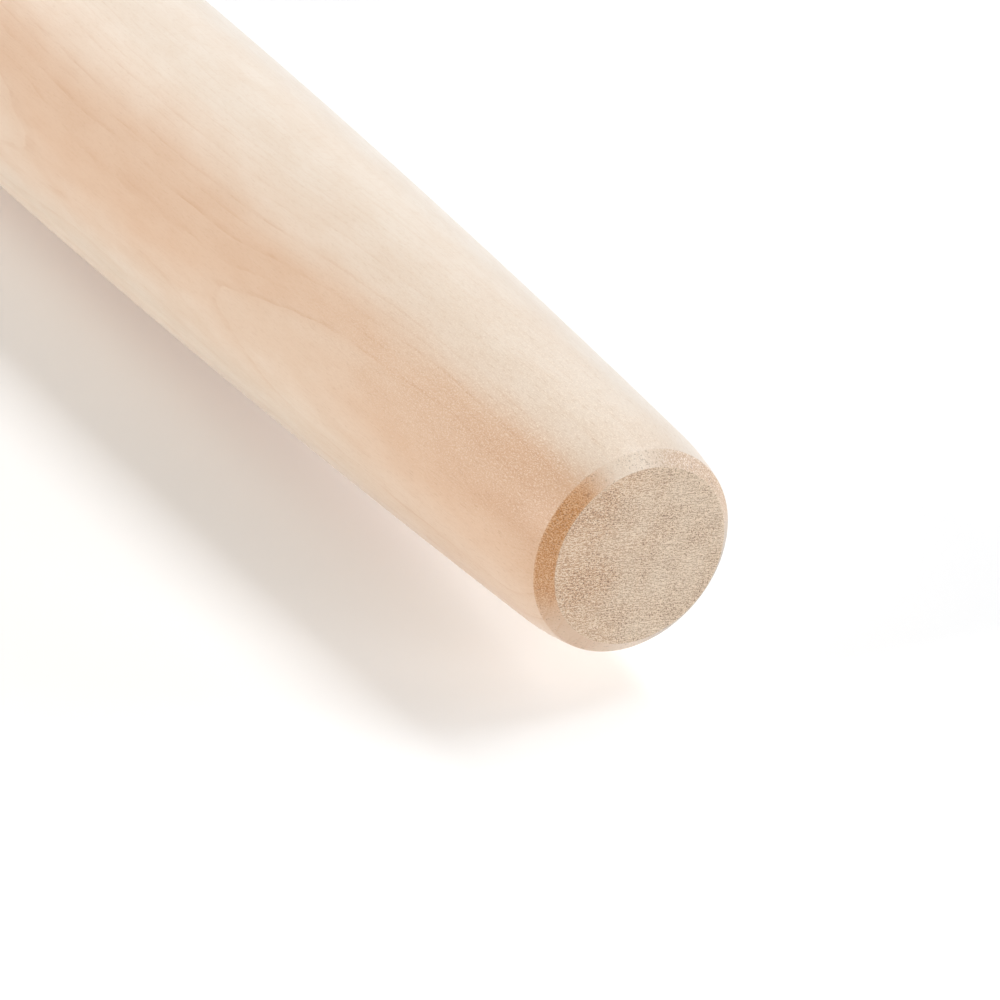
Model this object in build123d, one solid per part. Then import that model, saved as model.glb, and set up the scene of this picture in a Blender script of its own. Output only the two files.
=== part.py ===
from build123d import *
import os

# A French rolling pin: one piece of pale maple, turned on a lathe.
# It has no handles, bearings or fittings. A short straight barrel in the
# middle runs out into two long, slightly bulging tapers. Each taper turns down
# over a small shoulder to a narrow chamfer round a flat end.
# The pin lies along X with its centre at the origin, and both ends are alike.

# Driving dimensions, in millimetres
length = 508.0
barrel_diameter = 44.5
barrel_length = 36.0

# The end, from its neck outwards
neck_diameter = 30.9
shoulder_length = 7.7
rim_diameter = 28.6
chamfer_length = 1.6
face_diameter = 25.2

# The two edges of the chamfer, as sandpaper leaves them
rim_rounding = 0.35
face_rounding = 0.2

# Places along the axis, from the middle of the pin to one end
barrel_end = barrel_length / 2
face_place = length / 2
rim_place = face_place - chamfer_length
neck_place = rim_place - shoulder_length


def end_points(side):
    """Points of the outline on one side: barrel end, neck, rim, face edge and face centre."""
    return [
        Vector(side * barrel_end, barrel_diameter / 2),
        Vector(side * neck_place, neck_diameter / 2),
        Vector(side * rim_place, rim_diameter / 2),
        Vector(side * face_place, face_diameter / 2),
        Vector(side * face_place, 0),
    ]


def end_outline(side):
    """Outline of one tapered end, from the barrel to the axis.

    The taper is one large arc that leaves the barrel without a corner, and the
    shoulder is a smaller arc that carries on from the taper in the same way.
    """
    start, neck, rim, face_edge, face_centre = end_points(side)
    taper = TangentArc(start, neck, tangent=(side, 0))
    shoulder = TangentArc(neck, rim, tangent=taper % 1)
    chamfer = Line(rim, face_edge)
    face = Line(face_edge, face_centre)
    return [taper, shoulder, chamfer, face]


def half_section():
    """Half of the lengthwise section, above the axis, with its edges softened."""
    left_start, right_start = end_points(-1)[0], end_points(1)[0]
    left_centre, right_centre = end_points(-1)[-1], end_points(1)[-1]
    barrel = Line(left_start, right_start)
    axis = Line(left_centre, right_centre)
    section = make_face([barrel, axis, *end_outline(-1), *end_outline(1)])
    for side in (-1, 1):
        _, _, rim, face_edge, _ = end_points(side)
        for corner, rounding in ((rim, rim_rounding), (face_edge, face_rounding)):
            vertex = section.vertices().sort_by_distance(corner)[0]
            section = fillet(vertex, rounding)
    return section


def rolling_pin():
    """The whole pin: its half section turned about the X axis."""
    upright = Plane(origin=(0, 0, 0), x_dir=(1, 0, 0), z_dir=(0, -1, 0))
    return revolve(upright * half_section(), axis=Axis.X)


os.makedirs("parts", exist_ok=True)
export_step(rolling_pin(), "parts/rolling_pin.step")
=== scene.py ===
"""Looks of a tapered rolling pin, turned from one blank of pale maple.

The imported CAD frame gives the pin's place, length and thickness. This script turns its
visible surface as one fine mesh, grows the wood inside it as a solid pattern, and sets the
pale floor, the lamps and the camera.
"""

from __future__ import annotations

import logging
import math
from dataclasses import dataclass
from enum import Enum

import bpy
import numpy as np
from mathutils import Matrix, Vector

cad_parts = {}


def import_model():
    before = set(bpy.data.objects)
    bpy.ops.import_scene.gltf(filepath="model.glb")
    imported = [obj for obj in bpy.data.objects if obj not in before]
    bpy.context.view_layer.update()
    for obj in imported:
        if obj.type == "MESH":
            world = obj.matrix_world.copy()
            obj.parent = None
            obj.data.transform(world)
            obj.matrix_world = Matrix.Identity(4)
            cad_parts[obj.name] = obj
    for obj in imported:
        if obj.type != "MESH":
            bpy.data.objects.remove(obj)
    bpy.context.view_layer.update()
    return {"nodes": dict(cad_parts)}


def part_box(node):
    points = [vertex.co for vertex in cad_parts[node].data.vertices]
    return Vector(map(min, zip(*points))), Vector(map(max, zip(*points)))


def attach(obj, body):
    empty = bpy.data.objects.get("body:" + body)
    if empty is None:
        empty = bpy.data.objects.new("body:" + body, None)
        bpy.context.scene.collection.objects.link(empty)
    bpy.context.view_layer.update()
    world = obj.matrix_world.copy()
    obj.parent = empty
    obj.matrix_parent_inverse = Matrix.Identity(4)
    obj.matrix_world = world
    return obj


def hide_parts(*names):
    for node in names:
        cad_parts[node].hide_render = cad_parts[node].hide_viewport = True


MM = 0.001
Colour = tuple[float, float, float]
Lengths = tuple[float, float, float]
Socket = bpy.types.NodeSocket

WHITE: Colour = (1.0, 1.0, 1.0)

# Shades that more than one cut through the wood shares
RING_SHADE: Colour = (0.90, 0.80, 0.71)
RAY_SHADE: Colour = (0.95, 0.90, 0.85)
PORE_SHADE: Colour = (0.42, 0.35, 0.30)
FLECK_LIGHT: Colour = (0.80, 0.68, 0.55)

# Sockets of the mix node when it joins colours
MIX_SHARE = 0
MIX_BELOW = 6
MIX_ABOVE = 7
MIX_RESULT = 2

# Names under which the pin's mesh stores how it cuts the wood
END_GRAIN = "end_grain"
ARRIS = "arris"

log = logging.getLogger("rolling_pin")


class Blend(Enum):
    """How a colour is laid over the one below it."""

    MIX = "MIX"
    MULTIPLY = "MULTIPLY"


class Course(Enum):
    """How a ramp goes from its start to its end."""

    STRAIGHT = "LINEAR"
    SOFT = "SMOOTHSTEP"


@dataclass(frozen=True)
class Ramp:
    """A change from start to end while a value goes from low to high."""

    low: float
    high: float
    start: float = 0.0
    end: float = 1.0


@dataclass(frozen=True)
class Pattern:
    """Noise in cells of some millimetres along the grain, across and outwards."""

    cell: Lengths
    detail: float = 1.0
    roughness: float = 0.5


@dataclass(frozen=True)
class Sector:
    """A stretch of the pin's round, whose share follows the cosine of the angle from its middle.

    The middle is counted in degrees from the outward direction towards the across one.
    """

    middle_deg: float
    share: Ramp


def new_material(name: str) -> bpy.types.Material:
    """Make a material that has a node tree.

    Args:
        name: The material's name.

    Returns:
        The new material.
    """
    made = bpy.data.materials.new(name)
    made.use_nodes = True
    return made


class Graph:
    """A node tree, grown by short calls that return the new sockets."""

    def __init__(self, tree: bpy.types.NodeTree) -> None:
        """Empty the node tree of a material or of the world."""
        self.tree = tree
        self.tree.nodes.clear()

    def set_input(self, socket: Socket, value: object) -> None:
        """Give an input its value.

        Args:
            socket: The input.
            value: A socket, which is linked to it, or else a constant.
        """
        if isinstance(value, bpy.types.NodeSocket):
            self.tree.links.new(value, socket)
        else:
            socket.default_value = value

    def node(self, kind: str, settings: dict | None = None, inputs: dict | None = None) -> bpy.types.Node:
        """Add one node.

        Args:
            kind: The node's type, such as ShaderNodeMath.
            settings: Properties of the node, by name.
            inputs: A constant or a socket for each input, by name or number.

        Returns:
            The new node.
        """
        made = self.tree.nodes.new(kind)
        for key, value in (settings or {}).items():
            setattr(made, key, value)
        for key, value in (inputs or {}).items():
            self.set_input(made.inputs[key], value)
        return made

    def math(self, operation: str, first: Socket | float, second: Socket | float = 0.0) -> Socket:
        """Work out a plain sum, product, power or function of one or two numbers."""
        return self.node("ShaderNodeMath", {"operation": operation}, {0: first, 1: second}).outputs[0]

    def total(self, *terms: Socket | float) -> Socket:
        """Add up two or more terms.

        Args:
            terms: Sockets or constants.

        Returns:
            The socket of their sum.
        """
        result = terms[0]
        for term in terms[1:]:
            result = self.math("ADD", result, term)
        return result

    def product(self, *factors: Socket | float) -> Socket:
        """Multiply two or more factors.

        Args:
            factors: Sockets or constants.

        Returns:
            The socket of their product.
        """
        result = factors[0]
        for factor in factors[1:]:
            result = self.math("MULTIPLY", result, factor)
        return result

    def vector(self, x: Socket | float, y: Socket | float, z: Socket | float) -> Socket:
        """Join three numbers to a vector."""
        return self.node("ShaderNodeCombineXYZ", inputs={0: x, 1: y, 2: z}).outputs[0]

    def length(self, vector: Socket) -> Socket:
        """Measure a vector, as the root of the sum of its squares."""
        return self.node("ShaderNodeVectorMath", {"operation": "LENGTH"}, {0: vector}).outputs["Value"]

    def attribute(self, name: str) -> Socket:
        """Read a number that the mesh stores at its points."""
        return self.node("ShaderNodeAttribute", {"attribute_name": name}).outputs["Fac"]

    def random(self, number: Socket) -> Socket:
        """Draw a number from 0 to 1, always the same one for the same number given."""
        settings = {"noise_dimensions": "1D"}
        return self.node("ShaderNodeTexWhiteNoise", settings, {"W": number}).outputs["Value"]

    def noise(self, place: Socket, detail: float = 1.0, roughness: float = 0.5) -> Socket:
        """Make smooth noise about 0.5, with one wave to each unit of the place given."""
        inputs = {"Vector": place, "Scale": 1.0, "Detail": detail, "Roughness": roughness}
        return self.node("ShaderNodeTexNoise", inputs=inputs).outputs[0]

    def follow(self, value: Socket, ramp: Ramp, course: Course) -> Socket:
        """Map a value by a ramp, and hold it beyond the ramp's two ends.

        Args:
            value: The value that is mapped.
            ramp: The ramp.
            course: Whether the ramp is straight or has soft ends.

        Returns:
            The socket of the mapped value.
        """
        return self.node("ShaderNodeMapRange", {"interpolation_type": course.value}, {
            "Value": value,
            "From Min": ramp.low,
            "From Max": ramp.high,
            "To Min": ramp.start,
            "To Max": ramp.end,
        }).outputs[0]

    def step(self, value: Socket, ramp: Ramp) -> Socket:
        """Follow a ramp with soft ends, as 3 t^2 - 2 t^3 of the share t between low and high."""
        return self.follow(value, ramp, Course.SOFT)

    def line(self, value: Socket, ramp: Ramp) -> Socket:
        """Follow a ramp in a straight line."""
        return self.follow(value, ramp, Course.STRAIGHT)

    def seen(self) -> Socket:
        """Tell what is looked at from light that is on its way between surfaces.

        Returns:
            The socket of 1 for what the camera, gloss or glass looks at, and 0 for the rest.
        """
        path = self.node("ShaderNodeLightPath").outputs
        mirrored = self.math("MAXIMUM", path["Is Glossy Ray"], path["Is Transmission Ray"])
        return self.math("MAXIMUM", path["Is Camera Ray"], mirrored)

    def colour(self, share: Socket | float, below: Socket | Colour, above: Socket | Colour,
               blend: Blend = Blend.MIX) -> Socket:
        """Lay one colour over another.

        Args:
            share: How much of the upper colour shows, from 0 to 1.
            below: The lower colour.
            above: The upper colour.
            blend: How the two are joined.

        Returns:
            The socket of the joined colour.
        """
        settings = {"data_type": "RGBA", "blend_type": blend.value, "clamp_factor": True}
        made = self.node("ShaderNodeMix", settings)
        for number, value in ((MIX_SHARE, share), (MIX_BELOW, below), (MIX_ABOVE, above)):
            self.set_input(made.inputs[number], (*value, 1.0) if isinstance(value, tuple) else value)
        return made.outputs[MIX_RESULT]

    def shaded(self, share: Socket | float, below: Socket | Colour, shade: Socket | Colour) -> Socket:
        """Multiply a colour by a shade, as far as the share says."""
        return self.colour(share, below, shade, Blend.MULTIPLY)


class Blank:
    """Places in the blank of wood, in millimetres along the grain, across and outwards."""

    # Keeps the division by the radius sound on the pin's axis
    AXIS_GUARD = 0.01

    def __init__(self, g: Graph, outward_deg: float) -> None:
        """Turn Object coordinates to the blank's directions.

        Args:
            g: The material's graph.
            outward_deg: The turn about the pin's axis that brings the outward direction to +Z.
        """
        turned = g.node("ShaderNodeMapping", inputs={
            "Vector": g.node("ShaderNodeTexCoord").outputs["Object"],
            "Rotation": (math.radians(outward_deg), 0.0, 0.0),
            "Scale": (1 / MM, 1 / MM, 1 / MM),
        }).outputs[0]
        self.g = g
        self.along, self.across, self.outward = g.node("ShaderNodeSeparateXYZ", inputs={0: turned}).outputs
        self.radius = g.length(g.vector(self.across, self.outward, 0.0))
        self.from_middle = g.math("ABSOLUTE", self.along)

    def noise(self, pattern: Pattern) -> Socket:
        """Make noise in cells: the place is divided by the cell's length in each direction.

        Args:
            pattern: The cell, and the noise's detail and roughness.

        Returns:
            The socket of the noise, about 0.5.
        """
        place = (self.along, self.across, self.outward)
        cells = [self.g.math("DIVIDE", part, size) for part, size in zip(place, pattern.cell)]
        return self.g.noise(self.g.vector(*cells), pattern.detail, pattern.roughness)

    def facing(self, degrees: float) -> Socket:
        """Work out the cosine of a place's angle round the axis, less the angle given.

        It is (across * sin + outward * cos) / radius, with the sine and cosine of that angle.

        Args:
            degrees: The angle from the outward direction towards the across one.

        Returns:
            The socket of the cosine.
        """
        angle = math.radians(degrees)
        reach = self.g.total(self.g.product(self.across, math.sin(angle)),
                             self.g.product(self.outward, math.cos(angle)))
        return self.g.math("DIVIDE", reach, self.g.total(self.radius, self.AXIS_GUARD))

    def sector(self, sector: Sector) -> Socket:
        """Tell how far a place belongs to a sector."""
        return self.g.step(self.facing(sector.middle_deg), sector.share)

    def lengthways(self, ramp: Ramp) -> Socket:
        """Follow a ramp with soft ends over the distance from the pin's middle."""
        return self.g.step(self.from_middle, ramp)


@dataclass(frozen=True)
class Grain:
    """The patterns that every cut through the wood shows, as sockets.

    The reach is how far out in the tree a place is, in millimetres. The ring line is the thin dark
    line that closes each year, and the ring tone is the slow change within it.
    """

    reach: Socket
    ring_line: Socket
    ring_tone: Socket
    rays: Socket
    vessels: Socket
    fibre: Socket
    cloud: Socket


@dataclass(frozen=True)
class Growth:
    """How the tree grew: rings about a heart that lies outside the blank. Lengths are in millimetres.

    Rays are thin plates that stand outwards, and vessels are fine tubes along the grain.
    """

    outward_deg: float = -78.0
    heart_distance: float = 150.0
    sweep_height: float = 4.0
    sweep_length: float = 300.0
    sweep_start: float = 194.0
    slow: Pattern = Pattern((60.0, 22.0, 22.0))
    slow_shift: Ramp = Ramp(0.0, 1.0, -0.9, 0.9)
    fine: Pattern = Pattern((16.0, 4.0, 4.0), 2.0)
    fine_shift: Ramp = Ramp(0.0, 1.0, -0.3, 0.3)
    ring_width: float = 1.0
    uneven_width: float = 2.6
    uneven_row: float = 0.5
    uneven_years: Ramp = Ramp(0.0, 1.0, 0.0, 1.6)
    line_rise: Ramp = Ramp(0.72, 0.97)
    line_fall: Ramp = Ramp(0.97, 1.0, 1.0, 0.0)
    line_strength: Ramp = Ramp(0.0, 1.0, 0.15, 1.0)
    tone_rise: Ramp = Ramp(0.2, 1.0)
    tone_strength: Ramp = Ramp(0.0, 1.0, 0.2, 1.0)
    ray: Pattern = Pattern((0.8, 0.15, 3.0))
    ray_edge: Ramp = Ramp(0.54, 0.70)
    vessel: Pattern = Pattern((1.5, 0.13, 0.13))
    vessel_edge: Ramp = Ramp(0.56, 0.72)
    fibre: Pattern = Pattern((5.0, 0.28, 0.28), 3.0, 0.6)
    cloud: Pattern = Pattern((32.0, 6.0, 6.0), 2.0)

    def grain(self, g: Graph, blank: Blank) -> Grain:
        """Grow the patterns that all cuts share.

        Rays and vessels are stretched noise, cut off to plates and to short dashes.

        Args:
            g: The material's graph.
            blank: The places in the blank.

        Returns:
            The patterns.
        """
        reach = self.reach(g, blank)
        ring_line, ring_tone = self.rings(g, reach)
        return Grain(
            reach=reach,
            ring_line=ring_line,
            ring_tone=ring_tone,
            rays=g.step(blank.noise(self.ray), self.ray_edge),
            vessels=g.step(blank.noise(self.vessel), self.vessel_edge),
            fibre=blank.noise(self.fibre),
            cloud=blank.noise(self.cloud),
        )

    def reach(self, g: Graph, blank: Blank) -> Socket:
        """Work out how far out in the tree a place is.

        It is the root of (outward + heart)^2 + across^2, less the heart's own distance. A long
        sine along the grain sways the shells, and slow and fine noise makes them wander.

        Args:
            g: The material's graph.
            blank: The places in the blank.

        Returns:
            The socket of the reach, in millimetres.
        """
        depth = g.total(blank.outward, self.heart_distance)
        squares = g.total(g.product(depth, depth), g.product(blank.across, blank.across))
        distance = g.math("SUBTRACT", g.math("SQRT", squares), self.heart_distance)
        turn = g.product(g.math("SUBTRACT", blank.along, self.sweep_start), 2 * math.pi / self.sweep_length)
        sweep = g.product(g.math("SINE", turn), self.sweep_height)
        slow = g.line(blank.noise(self.slow), self.slow_shift)
        fine = g.line(blank.noise(self.fine), self.fine_shift)
        return g.total(distance, sweep, slow, fine)

    def rings(self, g: Graph, reach: Socket) -> tuple[Socket, Socket]:
        """Count the reach in ring widths, unevenly, and split it into years.

        Within a year the line is rise * fall, and the tone is a rise alone. Each is multiplied
        by a random strength of that year.

        Args:
            g: The material's graph.
            reach: How far out in the tree a place is.

        Returns:
            The sockets of the thin dark line that closes each ring, and of the tone within it.
        """
        place = g.vector(g.math("DIVIDE", reach, self.uneven_width), self.uneven_row, self.uneven_row)
        years = g.total(g.math("DIVIDE", reach, self.ring_width), g.line(g.noise(place), self.uneven_years))
        part = g.math("FRACT", years)
        strength = g.random(g.math("FLOOR", years))
        line = g.product(g.step(part, self.line_rise), g.step(part, self.line_fall),
                         g.line(strength, self.line_strength))
        tone = g.product(g.step(part, self.tone_rise), g.line(strength, self.tone_strength))
        return line, tone


@dataclass(frozen=True)
class HoneyAndShadeZone:
    """Where the wood is honey-coloured rather than cream.

    Ramps named round follow the sine of the angle from the outward direction, or that sine swayed
    by cloudy noise. Ramps named outward follow its cosine, and ramps named lengthways follow the
    distance from the pin's middle. The honey on the front is partly the wood's own figure and partly
    painted core shade, between the lamps' light from above and the floor's light from below.
    """

    patches: Ramp = Ramp(0.2, 0.8, -0.5, 0.5)
    sway: float = 0.22
    patch_share: float = 0.18
    near_round: Ramp = Ramp(0.46, 1.0, 1.0, 0.0)
    far_round: Ramp = Ramp(-0.55, 0.20, 0.06, 1.0)
    loops: Ramp = Ramp(16.7, 17.7, 1.0, 0.62)
    front_outward: Ramp = Ramp(-0.3, 0.3, 0.35, 1.0)
    end_round: Ramp = Ramp(0.36, 0.80, 1.0, 0.0)
    end_outward: Ramp = Ramp(0.0, 0.4, 0.4, 1.0)
    end_lengthways: Ramp = Ramp(185.0, 250.0, 0.0, 0.74)
    below_round: Ramp = Ramp(-0.6, 0.0, 1.0, 0.0)
    below_outward: Ramp = Ramp(0.10, 0.45, 0.8, 0.0)
    below_lengthways: Ramp = Ramp(165.0, 215.0, 1.0, 0.0)

    def share(self, g: Graph, blank: Blank, grain: Grain) -> Socket:
        """Add up three overlapping zones and some patches.

        The main zone is near_round * far_round * loops * front_outward, where the loops are the
        closed rings near the end. The two others are products of their ramps too: one grows
        stronger towards both ends, and one lies below it in the middle of the pin.

        Args:
            g: The material's graph.
            blank: The places in the blank.
            grain: The shared patterns.

        Returns:
            The socket of the honey colour's share.
        """
        sine = blank.facing(90.0)
        cosine = blank.facing(0.0)
        patches = g.line(grain.cloud, self.patches)
        swayed = g.total(sine, g.product(patches, self.sway))
        main_zone = g.product(g.step(swayed, self.near_round), g.step(swayed, self.far_round),
                              g.step(grain.reach, self.loops), g.step(cosine, self.front_outward))
        ends = g.product(blank.lengthways(self.end_lengthways), g.step(swayed, self.end_round),
                         g.step(cosine, self.end_outward))
        below = g.product(g.step(cosine, self.below_outward), g.step(sine, self.below_round),
                          blank.lengthways(self.below_lengthways))
        return g.total(main_zone, ends, below, g.product(patches, self.patch_share))


@dataclass(frozen=True)
class SideWood:
    """The wood as cut along the grain: cream and honey, with lines, flecks and dashes.

    A tone that belongs to one stretch of the pin has a sector, and a ramp named reach over the
    distance from the pin's middle. Some tones are painted light: core shade in the honey on the
    front, bounce light on the lower front edge, and shade that dims the side the back lamps light.
    """

    zone: HoneyAndShadeZone = HoneyAndShadeZone()
    cream: Colour = (0.700, 0.590, 0.480)
    honey: Colour = (0.645, 0.443, 0.303)
    # Painted shade: dims and cools the side that the back lamps light
    lit_side_shade: Colour = (0.83, 0.88, 0.93)
    lit_side_sector: Sector = Sector(150.0, Ramp(0.50, 0.95))
    # Painted bounce light: a paler strip on the lower front edge, away from the ends
    bounce_light: Colour = (0.770, 0.650, 0.530)
    bounce_light_sector: Sector = Sector(312.0, Ramp(0.95, 0.995))
    bounce_light_reach: Ramp = Ramp(145.0, 175.0, 0.9, 0.0)
    underside: Colour = (0.600, 0.390, 0.250)
    underside_sector: Sector = Sector(273.0, Ramp(0.80, 0.98))
    underside_reach: Ramp = Ramp(195.0, 235.0, 1.0, 0.0)
    # Painted shade: dims the lit upper side near the ends
    lit_end_shade: Colour = (0.93, 0.92, 0.91)
    lit_end_sector: Sector = Sector(108.0, Ramp(0.80, 0.97))
    lit_end_reach: Ramp = Ramp(160.0, 245.0)
    streak_sector: Sector = Sector(24.0, Ramp(0.88, 0.99))
    streak_reach: Ramp = Ramp(205.0, 254.0)
    tone_share: float = 0.12
    breaks: Pattern = Pattern((9.0, 2.0, 2.0), 2.0)
    break_share: Ramp = Ramp(0.40, 0.66, 0.06, 0.75)
    line_in_honey: Ramp = Ramp(0.0, 0.6, 0.4, 1.0)
    fibre_share: Ramp = Ramp(0.3, 0.7, 0.0, 0.35)
    blotch: Pattern = Pattern((11.0, 3.5, 3.5), 2.0)
    blotch_share: Ramp = Ramp(0.35, 0.65, 0.0, 0.55)
    ray_share: float = 0.4
    speck: Pattern = Pattern((0.26, 0.14, 0.14), 1.5)
    speck_share: Ramp = Ramp(0.48, 0.70)
    speck_reach: Ramp = Ramp(175.0, 248.0, 0.03, 0.80)
    speck_sector: Sector = Sector(53.0, Ramp(0.50, 0.95, 0.15, 1.0))
    vessel_shade: Colour = (0.80, 0.70, 0.61)
    vessel_reach: Ramp = Ramp(175.0, 248.0, 0.25, 0.5)

    def colour(self, g: Graph, blank: Blank, grain: Grain) -> Socket:
        """Lay lines, flecks and dashes, each by its share, over tones that include painted light and shade.

        Args:
            g: The material's graph.
            blank: The places in the blank.
            grain: The shared patterns.

        Returns:
            The socket of the colour.
        """
        honey_and_shade_share = self.zone.share(g, blank, grain)
        wood = self.tones(g, blank, honey_and_shade_share)
        breaks = g.step(blank.noise(self.breaks), self.break_share)
        dashed = g.product(grain.ring_line, breaks, g.line(honey_and_shade_share, self.line_in_honey))
        blotches = g.step(blank.noise(self.blotch), self.blotch_share)
        specks = g.product(g.line(blank.noise(self.speck), self.speck_share),
                           blank.lengthways(self.speck_reach), blank.sector(self.speck_sector))
        vessels = g.product(grain.vessels, blank.lengthways(self.vessel_reach))
        streak = g.product(blank.sector(self.streak_sector), blank.lengthways(self.streak_reach))

        wood = g.shaded(g.product(grain.ring_tone, self.tone_share), wood, RING_SHADE)
        wood = g.shaded(dashed, wood, RING_SHADE)
        wood = g.shaded(g.line(grain.fibre, self.fibre_share), wood, RAY_SHADE)
        wood = g.shaded(blotches, wood, RAY_SHADE)
        wood = g.shaded(g.product(grain.rays, self.ray_share), wood, RAY_SHADE)
        wood = g.colour(specks, wood, FLECK_LIGHT)
        wood = g.shaded(vessels, wood, self.vessel_shade)
        return g.shaded(streak, wood, RING_SHADE)

    def tones(self, g: Graph, blank: Blank, honey_and_shade_share: Socket) -> Socket:
        """Mix the slow tones: cream with honey, then each stretch by sector * reach.

        Args:
            g: The material's graph.
            blank: The places in the blank.
            honey_and_shade_share: How much of the wood is honey-coloured, partly as painted core shade.

        Returns:
            The socket of the colour.
        """
        # Painted bounce light from the floor on the lower front edge
        bounce_light = g.product(blank.sector(self.bounce_light_sector), blank.lengthways(self.bounce_light_reach))
        underside = g.product(blank.sector(self.underside_sector), blank.lengthways(self.underside_reach))
        # Painted shade on the lit upper side near the ends
        lit_end = g.product(blank.sector(self.lit_end_sector), blank.lengthways(self.lit_end_reach))
        # Painted shade on the side that the back lamps light
        cream = g.shaded(blank.sector(self.lit_side_sector), self.cream, self.lit_side_shade)
        # Honey over cream: partly the wood's figure, partly painted core shade on the front
        wood = g.colour(honey_and_shade_share, cream, self.honey)
        wood = g.colour(bounce_light, wood, self.bounce_light)
        wood = g.colour(underside, wood, self.underside)
        return g.shaded(lit_end, wood, self.lit_end_shade)


@dataclass(frozen=True)
class EndWood:
    """The wood as cut square across the grain: greyer, speckled, with pores and short rays.

    Ramps named warm are in millimetres outwards, and a speckle is a weighted sum of three noises.
    """

    grey: Colour = (0.560, 0.434, 0.320)
    warm: Colour = (0.550, 0.350, 0.212)
    warm_shift: Ramp = Ramp(0.0, 1.0, -9.0, 9.0)
    warm_share: Ramp = Ramp(-5.0, 11.0)
    speck: Pattern = Pattern((1.0, 0.15, 0.16), 2.0, 0.6)
    speck_weight: float = 0.46
    short_ray: Pattern = Pattern((1.0, 0.13, 0.58), 1.5, 0.6)
    short_ray_weight: float = 0.38
    long_ray: Pattern = Pattern((1.0, 0.22, 3.0))
    long_ray_weight: float = 0.16
    fleck: Colour = (0.70, 0.57, 0.43)
    fleck_share: Ramp = Ramp(0.49, 0.55)
    shade: Colour = (0.68, 0.64, 0.60)
    shade_share: Ramp = Ramp(0.44, 0.50, 1.0, 0.0)
    patch: Pattern = Pattern((6.0, 4.6, 4.6))
    patch_share: Ramp = Ramp(0.3, 0.7, 0.0, 0.6)
    pore: Pattern = Pattern((1.0, 0.22, 0.24))
    pore_shift: Ramp = Ramp(0.35, 0.65, -0.06, 0.06)
    pore_edge: Ramp = Ramp(0.64, 0.67)
    line_share: float = 0.4

    def colour(self, g: Graph, blank: Blank, grain: Grain) -> tuple[Socket, Socket]:
        """Lay speckle, patches, ring lines and pores over wood that is warmer outwards.

        Args:
            g: The material's graph.
            blank: The places in the blank.
            grain: The shared patterns.

        Returns:
            The sockets of the colour and of the pores alone.
        """
        speckle = g.total(g.product(blank.noise(self.speck), self.speck_weight),
                          g.product(blank.noise(self.short_ray), self.short_ray_weight),
                          g.product(blank.noise(self.long_ray), self.long_ray_weight))
        patch = blank.noise(self.patch)
        pores = g.step(g.total(blank.noise(self.pore), g.line(patch, self.pore_shift)), self.pore_edge)
        warmth = g.total(blank.outward, g.line(grain.cloud, self.warm_shift))

        wood = g.colour(g.step(warmth, self.warm_share), self.grey, self.warm)
        wood = g.colour(g.line(speckle, self.fleck_share), wood, self.fleck)
        wood = g.shaded(g.line(speckle, self.shade_share), wood, self.shade)
        wood = g.shaded(g.step(patch, self.patch_share), wood, RAY_SHADE)
        wood = g.shaded(g.product(grain.ring_line, self.line_share), wood, RING_SHADE)
        return g.shaded(pores, wood, PORE_SHADE), pores


@dataclass(frozen=True)
class ChamferWood:
    """The wood as the chamfer's cutter left it, round the rim.

    It sliced cleanly in one sector and left amber. A second sector is tan, partly the wood's own
    and partly painted shade. A third, on the lower side that faces down, shows end grain greyed and
    darkened as painted shade.
    """

    sliced: Sector = Sector(10.0, Ramp(0.55, 0.97))
    # Tan: partly the wood's own, partly painted shade where the back lamps light the rim
    tan_sector: Sector = Sector(132.0, Ramp(0.62, 0.92))
    shaded_end_sector: Sector = Sector(208.0, Ramp(0.60, 0.92))
    amber: Colour = (0.450, 0.190, 0.052)
    amber_light: Colour = (0.650, 0.400, 0.225)
    tan: Colour = (0.360, 0.225, 0.125)
    # Painted shade: greys the end grain on the rim's lower side, which faces down
    rim_shade: Colour = (0.58, 0.59, 0.61)
    tuft: Pattern = Pattern((0.40, 0.15, 0.15), 1.5, 0.6)
    amber_tufts: Ramp = Ramp(0.42, 0.62)
    tan_tufts: Ramp = Ramp(0.44, 0.66, 0.0, 0.5)
    pore_share: float = 0.5

    def colour(self, g: Graph, blank: Blank, side: Socket, end: Socket, pores: Socket) -> Socket:
        """Lay amber, tan, pores and end grain by sector, the tan and end grain partly painted shade.

        Args:
            g: The material's graph.
            blank: The places in the blank.
            side: The colour of the wood as cut along the grain.
            end: The colour of the end grain.
            pores: The end grain's pores.

        Returns:
            The socket of the colour.
        """
        tufts = blank.noise(self.tuft)
        amber = g.colour(g.step(tufts, self.amber_tufts), self.amber, self.amber_light)
        tan = g.colour(g.step(tufts, self.tan_tufts), self.tan, FLECK_LIGHT)
        wood = g.colour(blank.sector(self.sliced), side, amber)
        # Tan, partly painted shade, on the rim where the back lamps light it
        wood = g.colour(blank.sector(self.tan_sector), wood, tan)
        wood = g.shaded(g.product(pores, self.pore_share), wood, PORE_SHADE)
        # Painted shade: end grain on the rim's lower side, greyed and darkened
        return g.colour(blank.sector(self.shaded_end_sector), wood, g.shaded(1.0, end, self.rim_shade))


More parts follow.
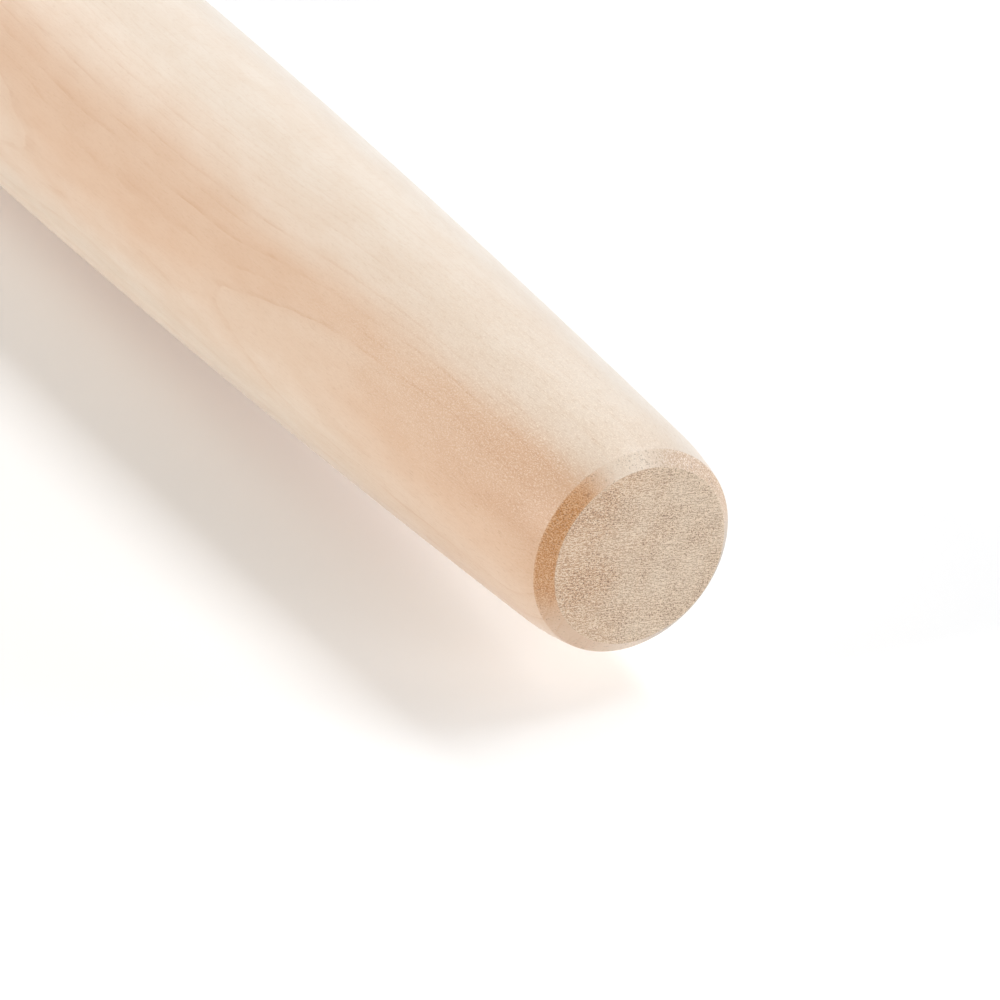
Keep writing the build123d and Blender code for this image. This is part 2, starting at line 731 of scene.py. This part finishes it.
@dataclass(frozen=True)
class MapleFinish:
    """Solid maple, grown in three dimensions and cut by the turned surface.

    The mesh stores how squarely it cuts the grain, from 0 along it to 1 across it, and the
    side, the chamfer and the end follow one another over that number. It also stores where its
    edges are rounded, which are a touch lighter: partly paler sanded wood and partly a painted
    highlight.
    """

    name: str = "maple"
    growth: Growth = Growth()
    side: SideWood = SideWood()
    end: EndWood = EndWood()
    chamfer: ChamferWood = ChamferWood()
    chamfer_from: Ramp = Ramp(0.12, 0.55)
    end_from: Ramp = Ramp(0.80, 0.97)
    arris_pale_and_highlight: float = 0.08
    roughness: Ramp = Ramp(0.25, 0.75, 0.40, 0.52)
    ior: float = 1.5
    sheen: float = 0.25
    sheen_roughness: float = 0.5
    vessel_height: float = -1.0
    fibre_height: float = 0.5
    ray_height: float = 0.2
    bump_strength: float = 0.3
    bump_depth: float = 0.05 * MM

    def material(self) -> bpy.types.Material:
        """Build the node tree.

        Returns:
            The finished material.
        """
        made = new_material(self.name)
        g = Graph(made.node_tree)
        blank = Blank(g, self.growth.outward_deg)
        grain = self.growth.grain(g, blank)
        side = self.side.colour(g, blank, grain)
        end, pores = self.end.colour(g, blank, grain)
        chamfer = self.chamfer.colour(g, blank, side, end, pores)
        square_cut = g.attribute(END_GRAIN)
        surface = g.colour(g.step(square_cut, self.chamfer_from), side, chamfer)
        surface = g.colour(g.step(square_cut, self.end_from), surface, end)
        # Rounded edges a touch lighter: partly paler sanded wood, partly a painted highlight
        surface = g.colour(g.product(g.attribute(ARRIS), self.arris_pale_and_highlight), surface, FLECK_LIGHT)
        self.shade(g, surface, grain)
        return made

    def shade(self, g: Graph, surface: Socket, grain: Grain) -> None:
        """Join the colour to a dull, slightly open surface.

        The surface stands out where fibres and rays are, and dips where vessels are.

        Args:
            g: The material's graph.
            surface: The wood's colour.
            grain: The shared patterns.
        """
        height = g.total(g.product(grain.vessels, self.vessel_height),
                         g.product(grain.fibre, self.fibre_height),
                         g.product(grain.rays, self.ray_height))
        bump = g.node("ShaderNodeBump", inputs={
            "Height": height,
            "Strength": self.bump_strength,
            "Distance": self.bump_depth,
        })
        shader = g.node("ShaderNodeBsdfPrincipled", inputs={
            "Base Color": surface,
            "Roughness": g.line(grain.fibre, self.roughness),
            "IOR": self.ior,
            "Sheen Weight": self.sheen,
            "Sheen Roughness": self.sheen_roughness,
            "Normal": bump.outputs[0],
        })
        g.node("ShaderNodeOutputMaterial", inputs={"Surface": shader.outputs[0]})


@dataclass(frozen=True)
class FloorFinish:
    """A plain pale floor that turns the pin's light back up, and that the camera sees a little paler.

    Over the distance from its middle, in metres, what is seen of it fades to plain white.
    """

    name: str = "pale_floor"
    tone: Colour = (0.965, 0.955, 0.94)
    lift: float = 0.035
    white_from: Ramp = Ramp(0.4, 0.9)

    def material(self) -> bpy.types.Material:
        """Build the floor's dull material.

        Returns:
            The finished material.
        """
        made = new_material(self.name)
        g = Graph(made.node_tree)
        seen = g.seen()
        distance = g.length(g.node("ShaderNodeTexCoord").outputs["Object"])
        far = g.product(seen, g.step(distance, self.white_from))
        dull = g.node("ShaderNodeBsdfDiffuse", inputs={"Color": (*self.tone, 1.0)})
        glow = g.node("ShaderNodeEmission", inputs={"Strength": g.product(seen, self.lift)})
        near = g.node("ShaderNodeAddShader", inputs={0: dull.outputs[0], 1: glow.outputs[0]})
        white = g.node("ShaderNodeEmission", inputs={"Strength": 1.0})
        both = g.node("ShaderNodeMixShader", inputs={0: far, 1: near.outputs[0], 2: white.outputs[0]})
        g.node("ShaderNodeOutputMaterial", inputs={"Surface": both.outputs[0]})
        return made


def mesh_object(name: str, points: np.ndarray, faces: list[tuple[int, ...]]) -> bpy.types.Object:
    """Put points and faces into a new smooth mesh at the origin.

    Args:
        name: The object's name.
        points: One row of three coordinates for each point.
        faces: The numbers of each face's points, anticlockwise from outside.

    Returns:
        The new object, linked to the scene.
    """
    mesh = bpy.data.meshes.new(name)
    mesh.from_pydata(points.tolist(), [], faces)
    mesh.polygons.foreach_set("use_smooth", np.ones(len(mesh.polygons), bool))
    mesh.update()
    made = bpy.data.objects.new(name, mesh)
    bpy.context.scene.collection.objects.link(made)
    return made


def direction(azimuth_deg: float, elevation_deg: float) -> Vector:
    """Work out the unit vector that points at an azimuth, counted from +X, and an elevation.

    It is (cos azimuth * cos elevation, sin azimuth * cos elevation, sin elevation).

    Args:
        azimuth_deg: The turn about +Z.
        elevation_deg: The height above the horizon.

    Returns:
        The vector.
    """
    azimuth = math.radians(azimuth_deg)
    elevation = math.radians(elevation_deg)
    level = math.cos(elevation)
    return Vector((math.cos(azimuth) * level, math.sin(azimuth) * level, math.sin(elevation)))


def arc(start: np.ndarray, end: np.ndarray, leaving: float, steps: int) -> np.ndarray:
    """Points along the circle that leaves start at an angle and passes through end.

    The chord from start to a share t of the arc stands at leaving + t * half, where half is
    the angle between the first direction and the whole chord, and is
    sin(t * half) / sin(half) of the whole chord long.

    Args:
        start: The first point, as (x, radius).
        end: The last point.
        leaving: The angle at which the arc leaves start, in radians.
        steps: How many points, start and end among them.

    Returns:
        The points, one to a row.
    """
    chord = end - start
    half = math.atan2(chord[1], chord[0]) - leaving
    turn = np.linspace(0.0, 1.0, steps) * half
    reach = np.linalg.norm(chord) * np.sin(turn) / math.sin(half)
    return start + reach[:, None] * np.column_stack([np.cos(leaving + turn), np.sin(leaving + turn)])


def rounded(before: np.ndarray, corner: np.ndarray, after: np.ndarray, radius: float,
            steps: int) -> np.ndarray:
    """Points of the arc that rounds a corner between two straight lines.

    Each line is cut off at radius * tan(turn / 2) from the corner, where turn is the angle
    between the lines' directions, and an arc that leaves along the first line joins the cuts.

    Args:
        before: A point of the first line, as (x, radius).
        corner: Where the lines meet.
        after: A point of the second line.
        radius: The rounding's radius.
        steps: How many points, both cuts among them.

    Returns:
        The points, one to a row.
    """
    coming = (corner - before) / np.linalg.norm(corner - before)
    going = (after - corner) / np.linalg.norm(after - corner)
    turn = math.acos(float(np.clip(coming @ going, -1.0, 1.0)))
    cut = radius * math.tan(turn / 2)
    return arc(corner - coming * cut, corner + going * cut, math.atan2(coming[1], coming[0]), steps)


@dataclass
class TurnedPin:
    """The pin's surface, turned about the X axis from one outline.

    The fields that end in rows say how many points each stretch of the outline has.
    """

    half_length: float
    barrel_radius: float
    barrel_length: float = 36.0 * MM
    neck_diameter: float = 30.9 * MM
    shoulder_length: float = 7.7 * MM
    rim_diameter: float = 28.6 * MM
    chamfer_length: float = 1.6 * MM
    face_diameter: float = 24.9 * MM
    rim_rounding: float = 0.35 * MM
    face_rounding: float = 0.2 * MM
    face_offset: float = 0.3 * MM
    barrel_rows: int = 5
    taper_rows: int = 70
    shoulder_rows: int = 20
    rim_rows: int = 7
    chamfer_rows: int = 12
    edge_rows: int = 6
    face_rows: int = 24
    around: int = 256
    arris_turn: float = 0.1
    name: str = "turned_pin"

    def outline(self) -> np.ndarray:
        """Draw half the pin's outline, from the middle to the centre of one end.

        The barrel, the chamfer and the face are straight. The taper is an arc that leaves the
        barrel level, and the shoulder is an arc that leaves the neck as steeply as the taper
        arrives: at twice the angle of the taper's chord. The chamfer's two corners are rounded.

        Returns:
            The points as (x, radius), one to a row.
        """
        rim_x = self.half_length - self.chamfer_length
        start = np.array([self.barrel_length / 2, self.barrel_radius])
        neck = np.array([rim_x - self.shoulder_length, self.neck_diameter / 2])
        rim = np.array([rim_x, self.rim_diameter / 2])
        edge = np.array([self.half_length, self.face_diameter / 2])
        centre = np.array([self.half_length, 0.0])
        barrel = np.linspace([0.0, self.barrel_radius], start, self.barrel_rows)
        taper = arc(start, neck, 0.0, self.taper_rows)
        bend = 2 * math.atan2(neck[1] - start[1], neck[0] - start[0])
        shoulder = arc(neck, rim, bend, self.shoulder_rows)
        rim_arc = rounded(shoulder[-2], rim, edge, self.rim_rounding, self.rim_rows)
        edge_arc = rounded(rim, edge, centre, self.face_rounding, self.edge_rows)
        chamfer = np.linspace(rim_arc[-1], edge_arc[0], self.chamfer_rows)
        face = np.linspace([self.half_length, edge_arc[-1, 1]], centre, self.face_rows)
        shoulder = shoulder[shoulder[:, 0] < rim_arc[0, 0]]
        return np.vstack([barrel[:-1], taper[:-1], shoulder, rim_arc, chamfer[1:-1], edge_arc[:-1], face])

    def build(self) -> bpy.types.Object:
        """Turn the outline to a closed mesh with both poles shared.

        A point of the surface at outline place (x, r) and turn a is (x, r sin a + e, r cos a). The
        chamfers are cut a little off centre: e goes from 0 at the rim to face_offset at the face.

        Returns:
            The pin's object.
        """
        half = self.outline()
        mirrored = half[1:-1][::-1] * np.array([-1.0, 1.0])
        whole = np.vstack([mirrored, half[:-1]])
        turn = np.linspace(0.0, 2 * math.pi, self.around, endpoint=False)
        x = np.repeat(whole[:, 0], self.around)
        radius = np.repeat(whole[:, 1], self.around)
        angle = np.tile(turn, len(whole))
        rim_x = self.half_length - self.chamfer_length
        offset = self.face_offset * np.clip((np.abs(x) - rim_x) / self.chamfer_length, 0.0, 1.0)
        rings = np.column_stack([x, radius * np.sin(angle) + offset, radius * np.cos(angle)])
        poles = np.array([
            [-self.half_length, self.face_offset, 0.0],
            [self.half_length, self.face_offset, 0.0],
        ])
        made = mesh_object(self.name, np.vstack([rings, poles]), self.faces(len(whole)))
        self.mark_cuts(made, whole)
        return made

    def faces(self, rows: int) -> list[tuple[int, ...]]:
        """List four-sided faces between neighbouring rings, and a fan of triangles at each pole.

        The angle grows from +Z towards +Y, which is clockwise seen from the +X end. So a face goes
        along the pin first and then round it, which makes it anticlockwise seen from outside.

        Args:
            rows: How many rings of points there are. The two poles come after them.

        Returns:
            The numbers of each face's points.
        """
        here = np.arange(self.around)
        there = np.roll(here, -1)
        starts = np.arange(rows - 1)[:, None] * self.around
        first, second = starts + here, starts + there
        quads = np.stack([first, first + self.around, second + self.around, second], -1).reshape(-1, 4)
        last = (rows - 1) * self.around
        low_pole = rows * self.around
        low = np.column_stack([here, there, np.full(self.around, low_pole)])
        high = np.column_stack([last + there, last + here, np.full(self.around, low_pole + 1)])
        return [tuple(face) for block in (quads, low, high) for face in block.tolist()]

    def mark_cuts(self, made: bpy.types.Object, whole: np.ndarray) -> None:
        """Store how squarely the surface cuts the grain, and where its edges are rounded.

        The first is the outline's rise over its length, from one neighbour to the other. The
        second is the outline's turn from one row to the next, of which arris_turn radians or
        more count as 1.

        Args:
            made: The pin's object.
            whole: The outline from pole to pole, as (x, radius).
        """
        step = np.gradient(whole, axis=0)
        square = np.abs(step[:, 1]) / np.linalg.norm(step, axis=1)
        slope = np.unwrap(np.arctan2(np.diff(whole[:, 1]), np.diff(whole[:, 0])))
        turn = np.abs(np.concatenate([[0.0], np.diff(slope), [0.0]]))
        arris = np.clip(turn / self.arris_turn, 0.0, 1.0)
        for name, rows, pole in ((END_GRAIN, square, 1.0), (ARRIS, arris, 0.0)):
            values = np.concatenate([np.repeat(rows, self.around), [pole, pole]])
            made.data.attributes.new(name, "FLOAT", "POINT").data.foreach_set("value", values)


@dataclass
class ViewPoint:
    """The camera, set by the photograph's direction and by where it shows the end face."""

    face_centre: Vector
    azimuth_deg: float = 60.76
    elevation_deg: float = 29.88
    distance: float = 503.9 * MM
    focal_px: float = 4000.0
    frame_px: float = 1000.0
    face_x_px: float = 638.4
    face_y_px: float = 556.9
    sensor_mm: float = 36.0

    def build(self) -> bpy.types.Object:
        """Place the camera without roll and make it the scene's.

        It stands back from the end face by the distance, and sideways and up by as much as
        brings the face's centre from the middle of the picture to its own pixel.

        Returns:
            The camera's object.
        """
        right = direction(self.azimuth_deg, 0.0)
        back = direction(self.azimuth_deg - 90.0, self.elevation_deg)
        up = back.cross(right)
        across = (self.face_x_px - self.frame_px / 2) / self.focal_px
        down = (self.face_y_px - self.frame_px / 2) / self.focal_px
        data = bpy.data.cameras.new("camera")
        data.sensor_fit = "HORIZONTAL"
        data.sensor_width = self.sensor_mm
        data.lens = self.focal_px / self.frame_px * self.sensor_mm
        made = bpy.data.objects.new("camera", data)
        turn = Matrix((right, up, back)).transposed().to_4x4()
        place = self.face_centre - self.distance * (across * right - down * up - back)
        made.matrix_world = Matrix.Translation(place) @ turn
        bpy.context.scene.collection.objects.link(made)
        bpy.context.scene.camera = made
        return made


@dataclass(frozen=True)
class Softbox:
    """A flat lamp that faces a point on the pin, with its lengths in metres.

    Its brightness is what it alone makes of a white surface that faces it, where 1 is white.
    """

    name: str
    azimuth_deg: float
    elevation_deg: float
    distance: float
    width: float
    height: float
    brightness: float
    tint: Colour

    def build(self, target: Vector) -> bpy.types.Object:
        """Hang the lamp.

        Its power is brightness * (pi * distance)^2, since a lamp's light spreads over pi and
        a white surface turns back one part in pi of what it gets.

        Args:
            target: The point that it faces.

        Returns:
            The lamp's object.
        """
        towards = direction(self.azimuth_deg, self.elevation_deg)
        data = bpy.data.lights.new(self.name, "AREA")
        data.shape = "RECTANGLE"
        data.size = self.width
        data.size_y = self.height
        data.energy = self.brightness * (math.pi * self.distance) ** 2
        data.color = self.tint
        made = bpy.data.objects.new(self.name, data)
        made.location = target + towards * self.distance
        made.rotation_euler = towards.to_track_quat("Z", "Y").to_euler()
        made.visible_camera = False
        bpy.context.scene.collection.objects.link(made)
        return made


# How far along the half length from the pin's middle the point is that all lamps face
LAMP_TARGET_SHARE = 0.6

# A bank and a strip stand behind the pin, and three softboxes round it
LAMPS = (
    Softbox("bank", azimuth_deg=75.0, elevation_deg=18.0, distance=2.4, width=2.2, height=1.0,
            brightness=0.76, tint=(0.95, 1.0, 1.07)),
    Softbox("strip", azimuth_deg=90.0, elevation_deg=60.0, distance=1.3, width=1.1, height=0.4,
            brightness=0.515, tint=(0.96, 1.0, 1.05)),
    Softbox("side_box", azimuth_deg=255.0, elevation_deg=22.0, distance=3.0, width=1.1, height=1.1,
            brightness=0.74, tint=(1.02, 1.0, 0.97)),
    Softbox("end_box", azimuth_deg=20.0, elevation_deg=16.0, distance=3.0, width=1.1, height=1.1,
            brightness=0.355, tint=(1.01, 1.0, 0.99)),
    Softbox("far_box", azimuth_deg=180.0, elevation_deg=22.0, distance=3.0, width=1.1, height=1.1,
            brightness=0.28, tint=(1.02, 1.0, 0.97)),
)


@dataclass
class Studio:
    """The pale floor, the white surroundings and the lamps, with lengths in metres."""

    floor_height: float
    target: Vector
    floor_size: float = 12.0
    ambient: float = 0.145
    ambient_tint: Colour = (1.03, 1.0, 0.96)

    def build(self) -> None:
        """Make the floor, the world and the lamps."""
        self.floor()
        self.surroundings()
        for lamp in LAMPS:
            lamp.build(self.target)

    def floor(self) -> bpy.types.Object:
        """Lay the floor under the pin's lowest line, as one square.

        Returns:
            The floor's object.
        """
        reach = self.floor_size / 2
        points = np.array([
            [-reach, -reach, self.floor_height],
            [reach, -reach, self.floor_height],
            [reach, reach, self.floor_height],
            [-reach, reach, self.floor_height],
        ])
        made = mesh_object("floor", points, [(0, 1, 2, 3)])
        made.data.materials.append(FloorFinish().material())
        return made

    def surroundings(self) -> None:
        """Show white to the camera and to gloss, and a dimmer even light to everything else."""
        world = bpy.data.worlds.new("surroundings")
        world.use_nodes = True
        bpy.context.scene.world = world
        g = Graph(world.node_tree)
        seen = g.seen()
        light = g.node("ShaderNodeBackground", inputs={
            "Color": g.colour(seen, self.ambient_tint, WHITE),
            "Strength": g.line(seen, Ramp(0.0, 1.0, self.ambient, 1.0)),
        })
        g.node("ShaderNodeOutputWorld", inputs={"Surface": light.outputs[0]})


def main() -> None:
    """Build the pin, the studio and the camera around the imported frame."""
    logging.basicConfig(level=logging.INFO, format="%(name)s: %(message)s")
    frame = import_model()
    log.info("frame: %s", ", ".join(frame["nodes"]))
    low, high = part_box("rolling_pin")
    radius = min(high.y, high.z, -low.y, -low.z)
    view_settings = bpy.context.scene.view_settings
    view_settings.view_transform = "Standard"

    pin = TurnedPin(half_length=high.x, barrel_radius=radius).build()
    pin.data.materials.append(MapleFinish().material())
    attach(pin, "root")
    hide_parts("rolling_pin")
    log.info("%s: %d faces", pin.name, len(pin.data.polygons))

    face_centre = Vector((high.x, 0.0, 0.0))
    Studio(floor_height=low.z, target=face_centre * LAMP_TARGET_SHARE).build()
    ViewPoint(face_centre).build()


if __name__ == "__main__":
    main()
